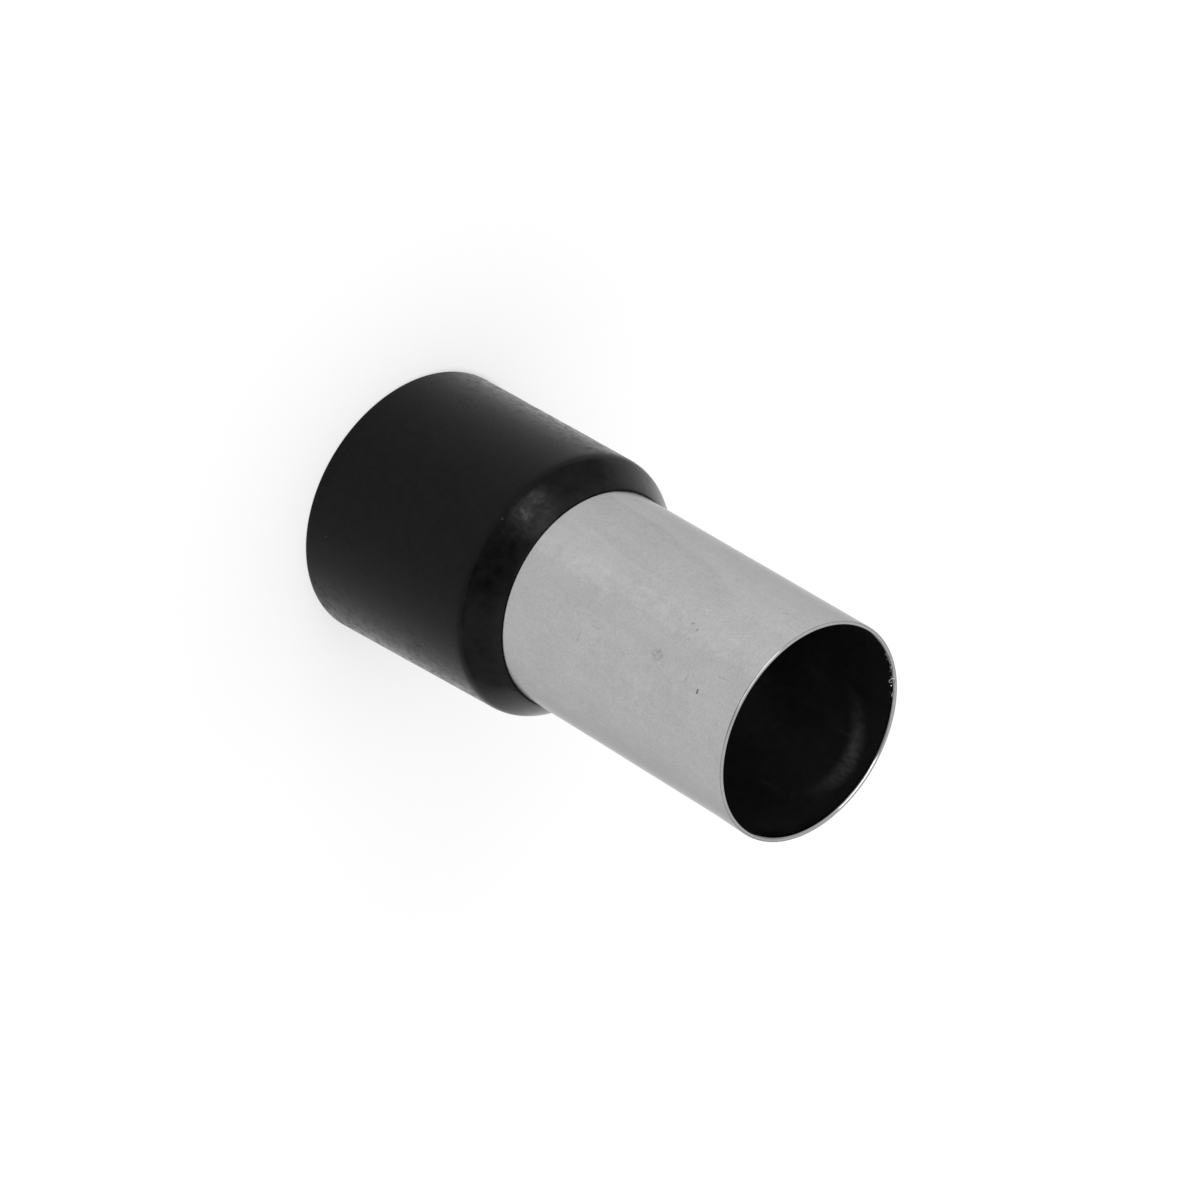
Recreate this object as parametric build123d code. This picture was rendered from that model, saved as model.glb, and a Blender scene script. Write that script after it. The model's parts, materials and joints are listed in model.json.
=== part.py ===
from build123d import *
import os
from math import cos, radians, sin, tan

# An insulated end sleeve for a stranded conductor of 70 square millimetres.
# The bare tube points up (+Z) and the wide mouth of the collar stands on z = 0.
# Sizes are in millimetres.

# Sleeve: a thin tube, flared at the back so that the strands find their way in
conductor_bore_d = 13.8    # hole that the strands fill
tube_wall = 0.3
pin_length = 20.1          # tube that stands out in front of the collar
grip_length = 3.2          # tube held by the neck of the collar, up to the flare
flare_angle = 25.0         # slope of the flare from the axis, in degrees
flare_rise = 0.75          # how far the flare reaches out past the tube
flare_bend_r = 1.0         # bend where the tube turns into the flare, outside
lip_r = 0.2                # rounding of the rim at the tip, outside

# Collar: a moulded plastic sleeve with a wide mouth for the insulation
collar_length = 16.4
mouth_wall = 0.9           # wall at the mouth
shoulder_wall = 0.65       # wall where the shoulder starts, thinner by the draft
shoulder_length = 2.1
nose_wall = 0.1            # wall at the front edge, which runs out thin on the tube
crease_r = 1.1             # rounding between the body and the shoulder
nose_r = 0.06              # rounding of the front edge, outside
mouth_bevel = 0.2          # bevel of the mouth, outside
lead_in = 0.35             # chamfer that guides the insulation into the mouth
lead_in_depth = 0.7

# Fits
grip_gap = 0.01            # between the tube and the neck that grips it
flare_edge_gap = 0.15      # between the edge of the flare and the wall of the collar

tube_r = conductor_bore_d / 2 + tube_wall
neck_r = tube_r + grip_gap
insulation_bore_r = tube_r + flare_rise + flare_edge_gap
total_length = collar_length + pin_length
slope = radians(flare_angle)


def within(radius, wall):
    """A rounding that leaves a little of the wall's end flat."""
    return min(radius, 0.75 * wall)


def bend_corner(depth):
    """Sharp corner between tube and flare, this deep below the sleeve's outer face."""
    height = collar_length - grip_length
    return (tube_r - depth, height - depth * tan(slope / 2))


def flare_end(depth):
    """End of the flare, this deep below the sleeve's outer face."""
    corner_r, corner_z = bend_corner(0)
    end_r = corner_r + flare_rise - depth * cos(slope)
    end_z = corner_z - flare_rise / tan(slope) - depth * sin(slope)
    return (end_r, end_z)


def turned(corners):
    """Ring made by turning a section about Z. A corner is a radius, a height and a rounding."""
    points = [(radius, height) for radius, height, rounding in corners]
    roundings = [rounding for radius, height, rounding in corners]
    with BuildPart() as ring:
        with BuildSketch(Plane.XZ):
            with BuildLine():
                FilletPolyline(points, radius=roundings, close=True)
            make_face()
        revolve(axis=Axis.Z)
    return ring.part


def sleeve():
    """The tube and its flare have one wall thickness, as a rolled sheet has."""
    return turned([
        (tube_r, total_length, within(lip_r, tube_wall)),
        (*bend_corner(0), flare_bend_r),
        (*flare_end(0), 0),
        (*flare_end(tube_wall), 0),
        (*bend_corner(tube_wall), flare_bend_r + tube_wall),
        (tube_r - tube_wall, total_length, 0),
    ])


def collar():
    """Drafted body, sloping shoulder, a neck on the tube and a seat for the flare."""
    seat_r, seat_z = bend_corner(-grip_gap)
    seat_end_z = seat_z - (insulation_bore_r - seat_r) / tan(slope)
    mouth_r = insulation_bore_r + mouth_wall
    return turned([
        (mouth_r - mouth_bevel, 0, 0),
        (mouth_r, mouth_bevel, 0),
        (insulation_bore_r + shoulder_wall, collar_length - shoulder_length, crease_r),
        (neck_r + nose_wall, collar_length, within(nose_r, nose_wall)),
        (neck_r, collar_length, 0),
        (seat_r, seat_z, flare_bend_r - grip_gap),
        (insulation_bore_r, seat_end_z, 0),
        (insulation_bore_r, lead_in_depth, 0),
        (insulation_bore_r + lead_in, 0, 0),
    ])


os.makedirs("parts", exist_ok=True)
export_step(sleeve(), "parts/sleeve.step")
export_step(collar(), "parts/collar.step")
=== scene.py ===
import json
from math import cos, pi, radians, sin, tan
from random import Random

import bmesh
import bpy
from mathutils import Matrix, Vector

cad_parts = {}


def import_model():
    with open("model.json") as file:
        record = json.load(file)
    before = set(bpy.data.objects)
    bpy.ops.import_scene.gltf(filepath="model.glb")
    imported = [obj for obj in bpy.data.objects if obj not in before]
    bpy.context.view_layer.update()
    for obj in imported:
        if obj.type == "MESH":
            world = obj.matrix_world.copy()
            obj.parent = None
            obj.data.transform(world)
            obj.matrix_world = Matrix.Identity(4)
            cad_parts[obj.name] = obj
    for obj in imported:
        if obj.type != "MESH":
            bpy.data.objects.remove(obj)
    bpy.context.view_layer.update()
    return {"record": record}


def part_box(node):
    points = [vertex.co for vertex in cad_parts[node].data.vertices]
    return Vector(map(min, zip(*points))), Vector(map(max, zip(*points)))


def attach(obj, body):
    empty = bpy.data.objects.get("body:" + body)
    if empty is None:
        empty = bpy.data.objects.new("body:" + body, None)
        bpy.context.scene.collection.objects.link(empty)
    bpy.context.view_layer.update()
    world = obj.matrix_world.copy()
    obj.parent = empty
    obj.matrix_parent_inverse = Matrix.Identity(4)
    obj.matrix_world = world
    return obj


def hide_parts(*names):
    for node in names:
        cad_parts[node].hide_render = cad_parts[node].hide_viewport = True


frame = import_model()

# The ferrule stands on the collar's mouth, with the bare tube up. Lengths are in metres.
MM = 0.001
sizes = {mount["name"]: mount["dims"] for mount in frame["record"]["mounts"]}
BORE_R = sizes["conductor_bore"]["r_mm"] * MM
TUBE_R = sizes["bare_tube"]["r_mm"] * MM
INSULATION_R = sizes["insulation_bore"]["r_mm"] * MM
TIP_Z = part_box("sleeve")[1].z
FLARE_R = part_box("sleeve")[1].x
NOSE_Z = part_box("collar")[1].z
MOUTH_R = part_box("collar")[1].x
WALL = TUBE_R - BORE_R

# Sleeve
GRIP = 3.2 * MM                 # tube in the collar's neck, up to the flare
FLARE_SLOPE = radians(25)
FLARE_BEND = 1.0 * MM
LIP = 0.14 * MM                 # rounding of the tip, outside
INNER_BEVEL = 0.09 * MM         # worn bevel of the tip, inside
INNER_BEVEL_DEPTH = 0.105 * MM
INNER_ROUND = 0.06 * MM

# Collar
GRIP_GAP = 0.01 * MM            # between the tube and the neck that grips it
SHOULDER_WALL = 0.69 * MM       # wall where the shoulder starts
SHOULDER = 2.1 * MM
NOSE_WALL = 0.1 * MM
CREASE = 1.1 * MM
NOSE_ROUND = 0.06 * MM
MOUTH_BEVEL = 0.07 * MM
LEAD_IN = 0.35 * MM
LEAD_IN_DEPTH = 0.7 * MM
SHOULDER_R = INSULATION_R + SHOULDER_WALL

# How this one strays from a true turned shape
EDGE_ROUND = 0.04 * MM          # rounding of the edges that are sharp on paper
TIP_SLANT = (0.009, 0.007, 0)   # the cut at the tip is a little out of square
TIP_SHIFT = (0.04 * MM, -0.005 * MM, 0)    # it also pushed the tip aside
TIP_FLARE = 0.03 * MM           # and widened it
TIP_REACH = 3 * MM              # how far down the tube these three are felt
COLLAR_LEAN = 0.0264            # the collar sits 1.5 degrees askew on the tube
RING_SEGMENTS = 288

# Shreds of metal on the inner edge of the tip. A turn is from the front, in degrees,
# with + towards +X. Depths below the tip and sizes are in mm.
BURRS = (    # turn, depth, size
    (-131.5, 0.33, 0.34),
    (-133, 0.28, 0.2),
    (-140, 0.38, 0.3),
)
CRUMBS = 18
CRUMB_TURNS = (-142, -106)
CRUMB_DEPTHS = (0.1, 0.32)
CRUMB_SIZES = (0.08, 0.15)

# Marks on the tube, a painted highlight streak and a darker patch. A place is the arc from the front,
# with + towards +X, and the height.
# Places and half lengths, both across and up, are in mm, and tilts are in degrees.
MARKS = (    # place, half lengths, tilt, depth
    ((1.42, 33.12), (0.18, 0.08), 12, 0.62),
    ((-1.75, 30.65), (0.11, 0.08), 0, 0.3),
    ((-1.98, 30.1), (0.08, 0.13), 0, 0.3),
    ((1.25, 24.0), (0.08, 0.6), 4, 0.1),
    ((2.35, 22.9), (0.4, 0.1), 0, 0.11),
    ((1.0, 31.95), (0.4, 0.05), -8, 0.12),
    ((-5.95, 34.1), (0.3, 0.06), -40, 0.16),
    ((-0.05, 34.4), (0.06, 0.5), 5, 0.12),
    ((-5.85, 21.7), (0.12, 0.08), 0, 0.2),
)
SMUDGE = ((0.75, 29.15), (0.42, 0.5))           # place, half lengths
DARKER_PATCH = ((-5.3, 22.0), (1.8, 9.3), -6)     # place, half lengths, tilt
PAINTED_HIGHLIGHT_STREAK = (-3.0, -0.9)    # painted highlight along the tube: from and to, across
RUB_MARK = (0.7, 34.9)          # middle of the arc inside the tip: along X, and the height
RUB_SAG = 0.1                   # how fast the arc falls to both sides

# Marks on the collar, in the same way, with painted highlight patches and a painted sheen on its shoulder
HIGHLIGHT_PATCHES = (    # place, half lengths, strength
    ((-3.0, 15.5), (1.9, 1.05), 0.0135),
    ((-2.7, 15.22), (0.45, 0.38), 0.031),
    ((-4.1, 14.95), (0.7, 0.35), 0.014),
)
SHEEN_GAP = (0.6, 1.75, 3.5)    # middle of the shoulder's darkest stretch, and where it starts to fade and ends, on either side. Beside it the shoulder is painted lighter, a painted sheen
                                # fade and ends, on either side
SPECKS = (    # place, half length
    ((9.1, 5.8), 0.07),
    ((-1.5, 14.4), 0.07),
    ((-11.5, 7.5), 0.06),
    ((5.2, 1.7), 0.06),
)

# Camera: a long lens, 40 degrees above the object and rolled, as in the photograph
FRAME_PIXELS = 1200
SENSOR = 36
FOCAL_PIXELS = 6214
CAMERA_HEIGHT = radians(39.76)
CAMERA_ROLL = radians(120.95)
TIP_PIXEL = (810.6, 732.0)      # where the middle of the tip shows
TIP_DEPTH = 371.2 * MM          # its distance along the view


class Value:
    """The output of a node. Arithmetic on it adds Math nodes to its tree."""

    def __init__(self, tree, socket):
        self.tree = tree
        self.socket = socket

    def out(self, name):
        """Another output of the same node."""
        return Value(self.tree, self.socket.node.outputs[name])

    def math(self, operation, *others):
        return self.tree.add("ShaderNodeMath", {"operation": operation}, dict(enumerate((self, *others))))

    def reflected(self, operation, other):
        """The operation with this value as its second one, as in 1 - mask."""
        return self.tree.add("ShaderNodeMath", {"operation": operation}, {0: other, 1: self})

    def __add__(self, other):
        return self.math("ADD", other)

    def __sub__(self, other):
        return self.math("SUBTRACT", other)

    def __mul__(self, other):
        return self.math("MULTIPLY", other)

    def __truediv__(self, other):
        return self.math("DIVIDE", other)

    def __rsub__(self, other):
        return self.reflected("SUBTRACT", other)

    def __rtruediv__(self, other):
        return self.reflected("DIVIDE", other)

    __radd__ = __add__
    __rmul__ = __mul__

    def ramp(self, low, high):
        """0 where this is at low, 1 at high, with soft ends. low may be the larger one."""
        return self.tree.add("ShaderNodeMapRange", {"interpolation_type": "SMOOTHSTEP"},
                             {"Value": self, "From Min": low, "From Max": high})


class Tree:
    """A node tree, for a material or a shape, with one way to add a node."""

    def __init__(self, nodes):
        self.nodes = nodes

    def add(self, kind, settings=None, inputs=None):
        """Adds a node with its settings and inputs. Its first live output comes back as a Value."""
        node = self.nodes.nodes.new(kind)
        for name, value in (settings or {}).items():
            setattr(node, name, value)
        for name, value in (inputs or {}).items():
            self.set(node.inputs[name], value)
        if not node.outputs:
            return node
        return Value(self, next(out for out in node.outputs if out.enabled))

    def set(self, socket, value):
        if isinstance(value, Value):
            self.nodes.links.new(value.socket, socket)
        else:
            socket.default_value = value


# Shapes

def rounded(corners, spacing=0.3 * MM):
    """Closed section through rounded corners. A corner is a radius, a height and a rounding."""
    step = radians(10)
    fewest = 4
    points = []
    for index, (r, z, rounding) in enumerate(corners):
        corner = Vector((r, z))
        before = (Vector(corners[index - 1][:2]) - corner).normalized()
        after = (Vector(corners[(index + 1) % len(corners)][:2]) - corner).normalized()
        opening = before.angle(after)
        reach = rounding / tan(opening / 2)
        centre = corner + (before + after).normalized() * rounding / sin(opening / 2)
        start = corner + before * reach - centre
        turn = (pi - opening) * (1 if before.x * after.y - before.y * after.x < 0 else -1)
        parts = max(fewest, round(abs(turn) / step))
        for part in range(parts + 1):
            angle = turn * part / parts
            x = start.x * cos(angle) - start.y * sin(angle)
            y = start.x * sin(angle) + start.y * cos(angle)
            points.append(centre + Vector((x, y)))
    section = []
    for index, point in enumerate(points):
        onward = points[(index + 1) % len(points)] - point
        parts = max(1, round(onward.length / spacing))
        section += [point + onward * part / parts for part in range(parts)]
    return section


def section_object(name, section):
    """A closed loop of edges in the XZ plane."""
    mesh = bpy.data.meshes.new(name)
    count = len(section)
    mesh.from_pydata([(p.x, 0, p.y) for p in section], [(i, (i + 1) % count) for i in range(count)], [])
    piece = bpy.data.objects.new(name, mesh)
    bpy.context.scene.collection.objects.link(piece)
    return piece


def turned_wall_tree():
    """Turns a section about Z, then makes the ring a little uneven, as a real wall is."""
    group = bpy.data.node_groups.new("turned_wall", "GeometryNodeTree")
    group.is_modifier = True
    for name, kind in (("Section", "Geometry"), ("Segments", "Int"), ("Unevenness", "Float"),
                       ("Lump Size", "Float"), ("Seed", "Int"), ("Lean", "Float"),
                       ("Lean Height", "Float"), ("Tip Height", "Float"), ("Tip Reach", "Float"),
                       ("Tip Slant", "Vector"), ("Tip Shift", "Vector"), ("Tip Flare", "Float"),
                       ("Finish", "Material")):
        group.interface.new_socket(name, in_out="INPUT", socket_type="NodeSocket" + kind)
    group.interface.new_socket("Ring", in_out="OUTPUT", socket_type="NodeSocketGeometry")
    tree = Tree(group)
    given = tree.add("NodeGroupInput")
    section = given.out("Section")
    points = tree.add("GeometryNodeAttributeDomainSize", {}, {"Geometry": section}).out("Point Count")
    columns = given.out("Segments") + 1
    rows = points + 1
    grid = tree.add("GeometryNodeMeshGrid", {}, {"Vertices X": columns, "Vertices Y": rows})
    index = tree.add("GeometryNodeInputIndex")
    nudge = 0.5 / 4096    # keeps a whole number from being rounded down
    column = (index / rows + nudge).math("FLOOR")
    row = (index - column * rows).math("MODULO", points)
    place = tree.add("GeometryNodeInputPosition")
    corner = tree.add("GeometryNodeSampleIndex", {"data_type": "FLOAT_VECTOR", "domain": "POINT"},
                      {"Geometry": section, "Value": place, "Index": row})
    around = tree.add("ShaderNodeVectorRotate", {"rotation_type": "Z_AXIS"},
                      {"Vector": corner, "Angle": column * (2 * pi) / given.out("Segments")})
    ring = tree.add("GeometryNodeSetPosition", {}, {"Geometry": grid, "Position": around})
    ring = tree.add("GeometryNodeMergeByDistance", {}, {"Geometry": ring, "Distance": 1e-4 * MM})
    lumps = tree.add("ShaderNodeTexNoise", {"noise_dimensions": "4D"},
                     {"Vector": place, "W": given.out("Seed"), "Scale": 1 / given.out("Lump Size"),
                      "Detail": 1.0})
    flat = tree.add("ShaderNodeVectorMath", {"operation": "MULTIPLY"}, {0: place, 1: (1, 1, 0)})
    outward = tree.add("ShaderNodeVectorMath", {"operation": "NORMALIZE"}, {0: flat})
    push = tree.add("ShaderNodeVectorMath", {"operation": "SCALE"},
                    {0: outward, "Scale": (lumps - 0.5) * given.out("Unevenness")})
    ring = tree.add("GeometryNodeSetPosition", {}, {"Geometry": ring, "Offset": push})
    apart = tree.add("ShaderNodeSeparateXYZ", {}, {0: place})
    lean = given.out("Lean")
    top = given.out("Lean Height")
    leaning = tree.add("ShaderNodeCombineXYZ", {}, {
        "X": lean * (top - apart.out("Z")),
        "Z": lean * apart.out("X") * apart.out("Z") / top.math("MAXIMUM", 1e-6)})
    ring = tree.add("GeometryNodeSetPosition", {}, {"Geometry": ring, "Offset": leaning})
    moved = tip_move(tree, given, place, outward)
    ring = tree.add("GeometryNodeSetPosition", {}, {"Geometry": ring, "Offset": moved})
    tree.add("NodeGroupOutput", {}, {"Ring": finished(tree, ring, given)})
    return group


def tip_move(tree, given, place, outward):
    """Slants, shifts and widens the ring near its tip."""
    tip = given.out("Tip Height")
    height = tree.add("ShaderNodeSeparateXYZ", {}, {0: place}).out("Z")
    near_tip = height.ramp(tip - given.out("Tip Reach"), tip)
    rise = tree.add("ShaderNodeVectorMath", {"operation": "DOT_PRODUCT"},
                    {0: place, 1: given.out("Tip Slant")})
    slant = tree.add("ShaderNodeCombineXYZ", {}, {"Z": rise})
    flare = tree.add("ShaderNodeVectorMath", {"operation": "SCALE"},
                     {0: outward, "Scale": given.out("Tip Flare")})
    move = tree.add("ShaderNodeVectorMath", {"operation": "ADD"}, {0: slant, 1: given.out("Tip Shift")})
    move = tree.add("ShaderNodeVectorMath", {"operation": "ADD"}, {0: move, 1: flare})
    return tree.add("ShaderNodeVectorMath", {"operation": "SCALE"}, {0: move, "Scale": near_tip})


def finished(tree, shape, given):
    """The end of every shape tree: smooth faces, real geometry and its material."""
    shape = tree.add("GeometryNodeSetShadeSmooth", {"domain": "FACE"}, {"Geometry": shape})
    shape = tree.add("GeometryNodeRealizeInstances", {}, {"Geometry": shape})
    return tree.add("GeometryNodeSetMaterial", {}, {"Geometry": shape, "Material": given.out("Finish")})


def burr_tree():
    """Puts a small curl of metal on every point, as large as the point's own size says.

    The curl is drawn about one unit large, and its thickness is a share of that.
    """
    group = bpy.data.node_groups.new("burrs", "GeometryNodeTree")
    group.is_modifier = True
    for name, kind in (("Places", "Geometry"), ("Thickness", "Float"), ("Seed", "Int"),
                       ("Finish", "Material")):
        group.interface.new_socket(name, in_out="INPUT", socket_type="NodeSocket" + kind)
    group.interface.new_socket("Burrs", in_out="OUTPUT", socket_type="NodeSocketGeometry")
    tree = Tree(group)
    given = tree.add("NodeGroupInput")
    size = tree.add("GeometryNodeInputNamedAttribute", {"data_type": "FLOAT"}, {"Name": "size"})
    spiral = tree.add("GeometryNodeCurveSpiral", {}, {
        "Resolution": 14, "Rotations": 0.9, "Start Radius": 0.35, "End Radius": 0.6, "Height": 0.9})
    around = tree.add("GeometryNodeCurvePrimitiveCircle", {"mode": "RADIUS"},
                      {"Resolution": 6, "Radius": given.out("Thickness")})
    curl = tree.add("GeometryNodeCurveToMesh", {}, {"Curve": spiral, "Profile Curve": around,
                                                    "Fill Caps": True})
    turn = tree.add("FunctionNodeRandomValue", {"data_type": "FLOAT_VECTOR"}, {
        0: (-0.7, -0.7, 0), 1: (0.7, 0.7, 2 * pi), "Seed": given.out("Seed")})
    burrs = tree.add("GeometryNodeInstanceOnPoints", {}, {
        "Points": given.out("Places"), "Instance": curl, "Rotation": turn, "Scale": size})
    tree.add("NodeGroupOutput", {}, {"Burrs": finished(tree, burrs, given)})
    return group


def made_by(tree, piece, given):
    """Runs a shape tree on a piece and keeps its result as a plain mesh."""
    shape = piece.modifiers.new("shape", "NODES")
    shape.node_group = tree
    for socket in tree.interface.items_tree:
        if socket.in_out == "INPUT" and socket.name in given:
            shape[socket.identifier] = given[socket.name]
    bpy.context.view_layer.update()
    seen = piece.evaluated_get(bpy.context.evaluated_depsgraph_get())
    mesh = bpy.data.meshes.new_from_object(seen)
    piece.modifiers.remove(shape)
    piece.data = mesh
    return piece


def faced_outward(piece):
    """Turns the faces of a closed piece outwards."""
    shape = bmesh.new()
    shape.from_mesh(piece.data)
    bmesh.ops.recalc_face_normals(shape, faces=shape.faces)
    shape.to_mesh(piece.data)
    shape.free()
    return piece


def bend_corner(depth):
    """Sharp corner between tube and flare, this deep below the sleeve's outer face."""
    return (TUBE_R - depth, NOSE_Z - GRIP - depth * tan(FLARE_SLOPE / 2))


def flare_end(depth):
    """End of the flare, this deep below the sleeve's outer face."""
    corner_r, corner_z = bend_corner(0)
    return (FLARE_R - depth * cos(FLARE_SLOPE),
            corner_z - (FLARE_R - corner_r) / tan(FLARE_SLOPE) - depth * sin(FLARE_SLOPE))


def sleeve(tree, finish):
    """The tube and its flare have one wall thickness, as a rolled sheet has."""
    section = rounded([
        (TUBE_R, TIP_Z, LIP),
        (*bend_corner(0), FLARE_BEND),
        (*flare_end(0), EDGE_ROUND),
        (*flare_end(WALL), EDGE_ROUND),
        (*bend_corner(WALL), FLARE_BEND + WALL),
        (BORE_R, TIP_Z - INNER_BEVEL_DEPTH, INNER_ROUND),
        (BORE_R + INNER_BEVEL, TIP_Z, INNER_ROUND),
    ])
    piece = section_object("metal_sleeve", section)
    made_by(tree, piece, {"Segments": RING_SEGMENTS, "Unevenness": 0.03 * MM, "Lump Size": 6 * MM,
                          "Seed": 4, "Tip Height": TIP_Z, "Tip Reach": TIP_REACH,
                          "Tip Slant": TIP_SLANT, "Tip Shift": TIP_SHIFT, "Tip Flare": TIP_FLARE,
                          "Finish": finish})
    return faced_outward(piece)


def rim_burrs(tree, finish):
    """Shreds that the cut left on the inner edge of the tip: some curls, and crumbs beside them."""
    chance = Random(6)
    crumbs = tuple(
        (chance.uniform(*CRUMB_TURNS), chance.uniform(*CRUMB_DEPTHS), chance.uniform(*CRUMB_SIZES))
        for crumb in range(CRUMBS))
    burrs = BURRS + crumbs
    mesh = bpy.data.meshes.new("rim_burrs")
    mesh.from_pydata([(BORE_R * sin(radians(turn)), -BORE_R * cos(radians(turn)), TIP_Z - depth * MM)
                      for turn, depth, size in burrs], [], [])
    sizes_of_burrs = mesh.attributes.new("size", "FLOAT", "POINT").data
    sizes_of_burrs.foreach_set("value", [size * MM for turn, depth, size in burrs])
    piece = bpy.data.objects.new("rim_burrs", mesh)
    bpy.context.scene.collection.objects.link(piece)
    made_by(tree, piece, {"Thickness": 0.18, "Seed": 3, "Finish": finish})
    return faced_outward(piece)


def collar(tree, finish):
    """Drafted body, sloping shoulder, a neck on the tube and a seat for the flare."""
    seat_r, seat_z = bend_corner(-GRIP_GAP)
    seat_end_z = seat_z - (INSULATION_R - seat_r) / tan(FLARE_SLOPE)
    neck_r = TUBE_R + GRIP_GAP
    section = rounded([
        (MOUTH_R - MOUTH_BEVEL, 0, EDGE_ROUND),
        (MOUTH_R, MOUTH_BEVEL, EDGE_ROUND),
        (SHOULDER_R, NOSE_Z - SHOULDER, CREASE),
        (neck_r + NOSE_WALL, NOSE_Z, NOSE_ROUND),
        (neck_r, NOSE_Z, EDGE_ROUND),
        (seat_r, seat_z, FLARE_BEND - GRIP_GAP),
        (INSULATION_R, seat_end_z, EDGE_ROUND),
        (INSULATION_R, LEAD_IN_DEPTH, EDGE_ROUND),
        (INSULATION_R + LEAD_IN, 0, EDGE_ROUND),
    ], spacing=0.4 * MM)
    piece = section_object("plastic_collar", section)
    made_by(tree, piece, {"Segments": RING_SEGMENTS, "Unevenness": 0.02 * MM, "Lump Size": 9 * MM,
                          "Seed": 7, "Lean": COLLAR_LEAN, "Lean Height": NOSE_Z, "Finish": finish})
    return faced_outward(piece)


# Finishes. In a sum of patterns, the number beside each says how strongly it shows.

TIN_GREY = 0.41
TIN_SPECULAR = 0.69
TIN_ROUGHNESS = 0.19
BORE_PAINTED_SHADE = 0.25               # painted shade: the tin inside the bore is painted this much darker
BORE_DULLNESS = 0.022           # and a little less metallic
TIP_POLISH = 0.55               # the cut rim is this much smoother than the tube
PLASTIC_GREY = 0.0017
PLASTIC_SPECULAR = 0.11
BODY_ROUGHNESS = 0.27
SHOULDER_ROUGHNESS = 0.2
SPECK_GREY = 0.04


def new_material(name):
    material = bpy.data.materials.new(name)
    material.use_nodes = True
    material.node_tree.nodes.clear()
    return material, Tree(material.node_tree)


def grey(tree, tone):
    return tree.add("ShaderNodeCombineColor", {}, {"Red": tone, "Green": tone, "Blue": tone})


def bumped(tree, strength, height):
    return tree.add("ShaderNodeBump", {}, {"Strength": strength, "Distance": 0.02 * MM, "Height": height})


def noise(tree, place, size, detail):
    """Clouds between 0 and 1, of about this size."""
    return tree.add("ShaderNodeTexNoise", {}, {"Vector": place, "Scale": 1 / size, "Detail": detail})


def pattern(tree, place, size, detail):
    """The same clouds around 0."""
    return noise(tree, place, size, detail) - 0.5


def drawn_out(tree, place, share):
    """The same place with its height scaled, which draws a pattern out along the tube."""
    return tree.add("ShaderNodeVectorMath", {"operation": "MULTIPLY"}, {0: place, 1: (1, 1, share)})


def off_axis(apart):
    """Distance from the Z axis."""
    return (apart.out("X").math("POWER", 2) + apart.out("Y").math("POWER", 2)).math("SQRT")


def unrolled(apart, wall_r):
    """Arc from the front of a round wall, with + towards +X, and the height."""
    turn = apart.out("X").math("ARCTAN2", apart.out("Y") * -1)
    return turn * wall_r, apart.out("Z")


def tilted(across, up, tilt):
    """The same place in axes that are turned by an angle."""
    return across * cos(tilt) + up * sin(tilt), up * cos(tilt) - across * sin(tilt)


def off_spot(across, up, spot, size, tilt=0.0):
    """Square of the distance from the middle of an oval mark, 1 on its edge."""
    along, beside = tilted(across - spot[0] * MM, up - spot[1] * MM, radians(tilt))
    return (along / (size[0] * MM)).math("POWER", 2) + (beside / (size[1] * MM)).math("POWER", 2)


def strokes(tree, across, up, length, width, tilt, share, seed):
    """Short scratches that all run about one way. Share is how many of the places hold one."""
    along, beside = tilted(across, up, radians(tilt))
    spot = tree.add("ShaderNodeCombineXYZ", {}, {"X": along / length, "Y": beside / width, "Z": seed})
    cells = tree.add("ShaderNodeTexVoronoi", {}, {"Vector": spot, "Scale": 1.0})
    chance = tree.add("ShaderNodeSeparateXYZ", {}, {0: cells.out("Color")})
    return cells.ramp(0.3, 0.1) * chance.ramp(share + 0.01, share)


def painted_highlight_streak(across, wander):
    """A painted highlight along the tube where a lamp's reflection falls: a lighter stretch, sharp
    towards the front and soft behind, with a wavy edge.
    """
    behind, front = (edge * MM for edge in PAINTED_HIGHLIGHT_STREAK)
    wavy = across + wander * (1.2 * MM)
    return wavy.ramp(front, front - 0.25 * MM) * wavy.ramp(behind, behind + 1.2 * MM)


def darker_patch(across, up, wander):
    """A long darker patch beside the streak, fainter towards the front."""
    spot, size, tilt = DARKER_PATCH
    shape = off_spot(across, up, spot, size, tilt) + wander * 0.5
    fade = (across - spot[0] * MM).ramp(0.5 * MM, -1.5 * MM)
    return shape.ramp(1.1, 0.75) * (0.6 + fade * 0.4)


def dark_marks(tree, place, across, up, grain):
    """A smudge of small curls, and single marks with a ragged edge."""
    curls = pattern(tree, place, 0.3 * MM, 1).math("ABSOLUTE").ramp(0.06, 0.0)
    dark = off_spot(across, up, *SMUDGE).ramp(1.3, 0.5) * (0.07 + curls * 0.27)
    for spot, size, tilt, depth in MARKS:
        mark = off_spot(across, up, spot, size, tilt) + grain * 3
        dark = dark.math("MAXIMUM", mark.ramp(1.2, 0.5) * depth)
    return dark


def rub_mark(tree, place, apart):
    """A rubbed arc, wherever it meets the wall on the far side from the front."""
    sideways = apart.out("X") - RUB_MARK[0] * MM
    arch = apart.out("Z") - RUB_MARK[1] * MM + sideways.math("POWER", 2) * (RUB_SAG / MM)
    band = arch.math("ABSOLUTE").ramp(0.95 * MM, 0)
    reach = (sideways + 0.8 * MM).math("ABSOLUTE").ramp(4 * MM, 0.5 * MM)
    far_side = apart.out("Y").ramp(0, 1 * MM)
    patches = noise(tree, drawn_out(tree, place, 0.3), 0.18 * MM, 3).ramp(0.3, 0.7)
    return band * reach * far_side * (0.5 + patches)


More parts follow.
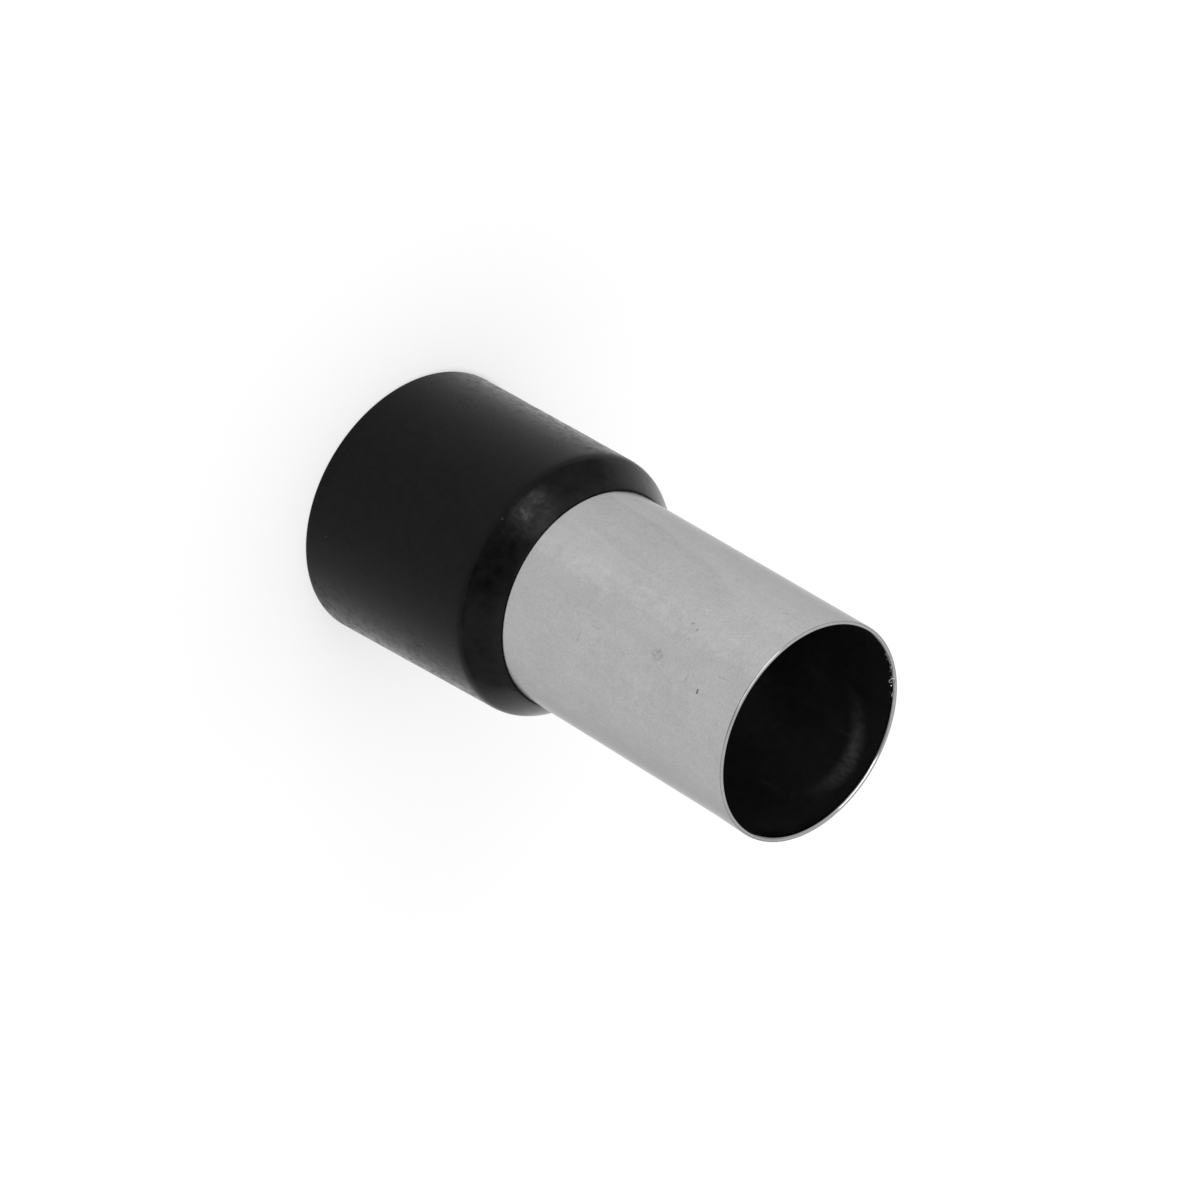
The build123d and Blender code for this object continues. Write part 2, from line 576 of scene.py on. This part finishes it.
def tinned_copper():
    """Drawn, tinned copper: faint clouds, a painted highlight streak and a darker patch along it, a
    painted sheen on one side, painted shade in the bore, and some marks.
    """
    material, tree = new_material("tinned_copper")
    place = tree.add("ShaderNodeTexCoord").out("Object")
    apart = tree.add("ShaderNodeSeparateXYZ", {}, {0: place})
    across, up = unrolled(apart, TUBE_R)
    inside = off_axis(apart).ramp(BORE_R + 0.06 * MM, BORE_R + 0.03 * MM)
    tip = up.ramp(TIP_Z - 0.35 * MM, TIP_Z - 0.15 * MM)

    clouds = pattern(tree, place, 3.5 * MM, 3)
    mottle = pattern(tree, place, 0.6 * MM, 3)
    grain = pattern(tree, place, 0.15 * MM, 2)
    lines = pattern(tree, drawn_out(tree, place, 0.12), 0.5 * MM, 2)
    wander = pattern(tree, place, 1.4 * MM, 4)
    nicks = strokes(tree, across, up, 1.6 * MM, 0.5 * MM, tilt=25, share=0.18, seed=1.0)
    glints = strokes(tree, across, up, 1.3 * MM, 0.45 * MM, tilt=62, share=0.15, seed=2.0)
    scratches = strokes(tree, across, up, 4 * MM, 0.4 * MM, tilt=86, share=0.2, seed=4.0)

    # painted highlight: a lamp's reflection along the tube, painted lighter into the colour
    streak = painted_highlight_streak(across, wander) * (0.06 + clouds * 0.1 + mottle * 0.1)
    # painted sheen: the tube is painted lighter on its -X side, where the floor it reflects is brighter
    side = across.ramp(-1 * MM, -3 * MM) * across.ramp(-20 * MM, -12 * MM)
    darker_mask = darker_patch(across, up, wander)
    dark = dark_marks(tree, place, across, up, grain)
    rubbed = rub_mark(tree, place, apart) * inside
    tone = 1 + clouds * 0.19 + mottle * 0.145 + grain * 0.26 + lines * 0.1
    tone = tone + streak + side * 0.05 - darker_mask * 0.08
    tone = tone * (1 - dark) * (1 - nicks * 0.05) * (1 + glints * 0.05)
    rough = TIN_ROUGHNESS + clouds * 0.1 + mottle * 0.08 + rubbed * 0.05 + dark * 0.2
    shader = tree.add("ShaderNodeBsdfPrincipled", {}, {
        # painted shade: the tin inside the bore is painted darker
        "Base Color": grey(tree, tone * TIN_GREY * (1 - inside * BORE_PAINTED_SHADE)),
        "Metallic": 1 - inside * (BORE_DULLNESS + scratches * 0.04) - rubbed * 0.12,
        "Specular Tint": (TIN_SPECULAR, TIN_SPECULAR, TIN_SPECULAR, 1),
        "Roughness": rough * (1 - tip * TIP_POLISH),
        "Normal": bumped(tree, 0.1, grain + mottle - dark * 2 - nicks)})
    tree.add("ShaderNodeOutputMaterial", {}, {"Surface": shader})
    return material


def painted_highlight(tree, place, across, up):
    """Cloudy painted highlight patches on the shoulder, where a lamp's reflection falls. Each is flat in
    its middle and fades at its edge.
    """
    warp = pattern(tree, place, 0.5 * MM, 3) * (0.7 * MM)
    bend = pattern(tree, place, 0.4 * MM, 3) * (0.5 * MM)
    cloudy = 0.45 + noise(tree, place, 0.28 * MM, 3).ramp(0.3, 0.75) * 1.2
    patches = 0
    for spot, size, strength in HIGHLIGHT_PATCHES:
        off = off_spot(across + warp, up + bend, spot, size)
        patches = patches + (off * off * -1).math("EXPONENT") * strength
    return patches * cloudy


def black_plastic():
    """Moulded plastic: a matt body, and a shoulder that is smoother where the mould was polished. The
    shoulder carries painted highlight patches and a painted sheen, and the nose a painted sheen.
    """
    material, tree = new_material("black_plastic")
    place = tree.add("ShaderNodeTexCoord").out("Object")
    apart = tree.add("ShaderNodeSeparateXYZ", {}, {0: place})
    across, up = unrolled(apart, SHOULDER_R)
    up = up - apart.out("X") * COLLAR_LEAN

    clouds = pattern(tree, place, 3 * MM, 3)
    mottle = pattern(tree, place, 0.7 * MM, 3)
    fine = pattern(tree, place, 0.3 * MM, 2)
    grain = pattern(tree, place, 0.16 * MM, 2)
    smooth = (up + mottle * (0.6 * MM)).ramp(NOSE_Z - 2.2 * MM, NOSE_Z - 1.9 * MM)
    # painted sheen: the collar is painted lighter towards its nose, beside the bright tube
    nose_sheen = up.ramp(NOSE_Z - 0.9 * MM, NOSE_Z - 0.1 * MM)
    scuffs = strokes(tree, across, up, 1.5 * MM, 0.4 * MM, tilt=70, share=0.12, seed=3.0) * smooth
    # painted sheen: the shoulder is painted lighter beside its darkest stretch
    gap_middle, gap_fade, gap_end = (edge * MM for edge in SHEEN_GAP)
    sheen_beside_gap = (across - gap_middle).math("ABSOLUTE").ramp(gap_fade, gap_end)

    matt = BODY_ROUGHNESS + clouds * 0.18 + mottle * 0.42 + fine * 0.4 + grain * 0.16
    polished = SHOULDER_ROUGHNESS + clouds * 0.2 + mottle * 0.2 + scuffs * 0.2
    tone = PLASTIC_GREY + clouds * 0.004 + mottle * 0.006 + fine * 0.0035 * (1 - smooth)
    tone = tone * (1 + smooth) + smooth * sheen_beside_gap * 0.003 + nose_sheen * 0.004
    # painted highlight patches on the shoulder, where a lamp's reflection falls
    tone = tone + painted_highlight(tree, place, across, up)
    for spot, size in SPECKS:
        tone = tone + off_spot(across, up, spot, (size, size)).ramp(1.3, 0.5) * SPECK_GREY
    blackest = 0.0002
    shader = tree.add("ShaderNodeBsdfPrincipled", {}, {
        "Base Color": grey(tree, tone.math("MAXIMUM", blackest)),
        "Roughness": matt * (1 - smooth) + polished * smooth,
        "Specular IOR Level": PLASTIC_SPECULAR,
        "Normal": bumped(tree, 0.15, grain * (1 - smooth * 0.7) + mottle * smooth * 2)})
    tree.add("ShaderNodeOutputMaterial", {}, {"Surface": shader})
    return material


# Stage

FLOOR_SIZE = 3
FLOOR_GREY = 0.5
GLOW_IN_PAINTED_SHADOW = 0.15               # the floor's own light in the picture, below the ferrule, kept low there as a painted shadow
GLOW_AROUND = 0.55              # and around it, where it makes the floor white
WALL_LIGHT = 0.5
CEILING_LIGHT = 0.95
DARK_SIDE = (0.24, -0.91, 0.34)     # the darker side of the studio, behind the camera
DARK_SIDE_LOSS = 0.55


def floor():
    material, tree = new_material("studio_floor")
    ray = tree.add("ShaderNodeLightPath")
    seen = ray.out("Is Camera Ray").math("MAXIMUM", ray.out("Is Glossy Ray"))
    seen = seen.math("MAXIMUM", ray.out("Is Transmission Ray"))
    place = tree.add("ShaderNodeTexCoord").out("Object")
    # painted shadow: the floor's glow is kept low below the ferrule
    around = off_axis(tree.add("ShaderNodeSeparateXYZ", {}, {0: place})).ramp(8 * MM, 9 * MM)
    glow = seen * (GLOW_IN_PAINTED_SHADOW + around * (GLOW_AROUND - GLOW_IN_PAINTED_SHADOW))
    lift = tree.add("ShaderNodeEmission", {}, {"Strength": glow})
    paper = tree.add("ShaderNodeBsdfDiffuse", {}, {"Color": (FLOOR_GREY, FLOOR_GREY, FLOOR_GREY, 1)})
    both = tree.add("ShaderNodeAddShader", {}, {0: paper, 1: lift})
    tree.add("ShaderNodeOutputMaterial", {}, {"Surface": both})
    bpy.ops.mesh.primitive_plane_add(size=FLOOR_SIZE)
    plane = bpy.context.object
    plane.name = "studio_floor"
    plane.data.materials.append(material)


def world():
    """A plain studio, lighter above and darker behind the camera."""
    scene = bpy.context.scene
    scene.world = bpy.data.worlds.new("studio_world")
    scene.world.use_nodes = True
    scene.world.node_tree.nodes.clear()
    tree = Tree(scene.world.node_tree)
    way = tree.add("ShaderNodeTexCoord").out("Generated")
    height = tree.add("ShaderNodeSeparateXYZ", {}, {0: way}).out("Z")
    dark = tree.add("ShaderNodeVectorMath", {"operation": "DOT_PRODUCT"}, {0: way, 1: DARK_SIDE})
    light = WALL_LIGHT + (CEILING_LIGHT - WALL_LIGHT) * height.ramp(0.0, 0.8)
    light = light * (1 - dark.ramp(0.75, 0.97) * DARK_SIDE_LOSS)
    sky = tree.add("ShaderNodeBackground", {}, {"Color": (1, 1, 1, 1), "Strength": light})
    tree.add("ShaderNodeOutputWorld", {}, {"Surface": sky})


def lamp(name, azimuth, height, distance, width, tall, power):
    """Soft box that looks at the middle of the ferrule. Azimuth 0 is on the camera's side."""
    data = bpy.data.lights.new(name, "AREA")
    data.shape = "RECTANGLE"
    data.size = width
    data.size_y = tall
    data.energy = power
    box = bpy.data.objects.new(name, data)
    bpy.context.scene.collection.objects.link(box)
    side, up = radians(azimuth), radians(height)
    away = Vector((sin(side) * cos(up), -cos(side) * cos(up), sin(up)))
    box.location = Vector((0, 0, TIP_Z / 2)) + away * distance
    box.rotation_mode = "QUATERNION"
    box.rotation_quaternion = away.to_track_quat("Z", "Y")
    box.visible_camera = False


def camera():
    """Looks so that the middle of the tip shows at its pixel, at its distance."""
    data = bpy.data.cameras.new("camera")
    data.sensor_width = SENSOR
    data.lens = FOCAL_PIXELS / FRAME_PIXELS * SENSOR
    data.clip_start = 0.01
    data.clip_end = 10
    level = Vector((1, 0, 0))
    back = Vector((0, -cos(CAMERA_HEIGHT), sin(CAMERA_HEIGHT)))
    steep = back.cross(level)
    right = level * cos(CAMERA_ROLL) + steep * sin(CAMERA_ROLL)
    up = steep * cos(CAMERA_ROLL) - level * sin(CAMERA_ROLL)
    across = (TIP_PIXEL[0] - FRAME_PIXELS / 2) / FOCAL_PIXELS * TIP_DEPTH
    down = (TIP_PIXEL[1] - FRAME_PIXELS / 2) / FOCAL_PIXELS * TIP_DEPTH
    eye = bpy.data.objects.new("camera", data)
    bpy.context.scene.collection.objects.link(eye)
    place = Vector((0, 0, TIP_Z)) - right * across + up * down + back * TIP_DEPTH
    eye.matrix_world = Matrix.Translation(place) @ Matrix((right, up, back)).transposed().to_4x4()
    bpy.context.scene.camera = eye


# Assembly

camera()
floor()
world()
lamp("key_box", azimuth=-39, height=22, distance=0.5, width=0.22, tall=0.18, power=0.1)
lamp("top_box", azimuth=-22, height=54, distance=0.5, width=0.42, tall=0.18, power=0.52)
bpy.context.scene.view_settings.view_transform = "Standard"

wall_tree = turned_wall_tree()
metal = tinned_copper()
plastic = black_plastic()
tube = sleeve(wall_tree, metal)
burrs = rim_burrs(burr_tree(), metal)
sheath = collar(wall_tree, plastic)
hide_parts("sleeve")
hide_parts("collar")
for piece, slot in ((tube, "tinned_copper"), (burrs, "tinned_copper"), (sheath, "black_plastic")):
    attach(piece, "root")
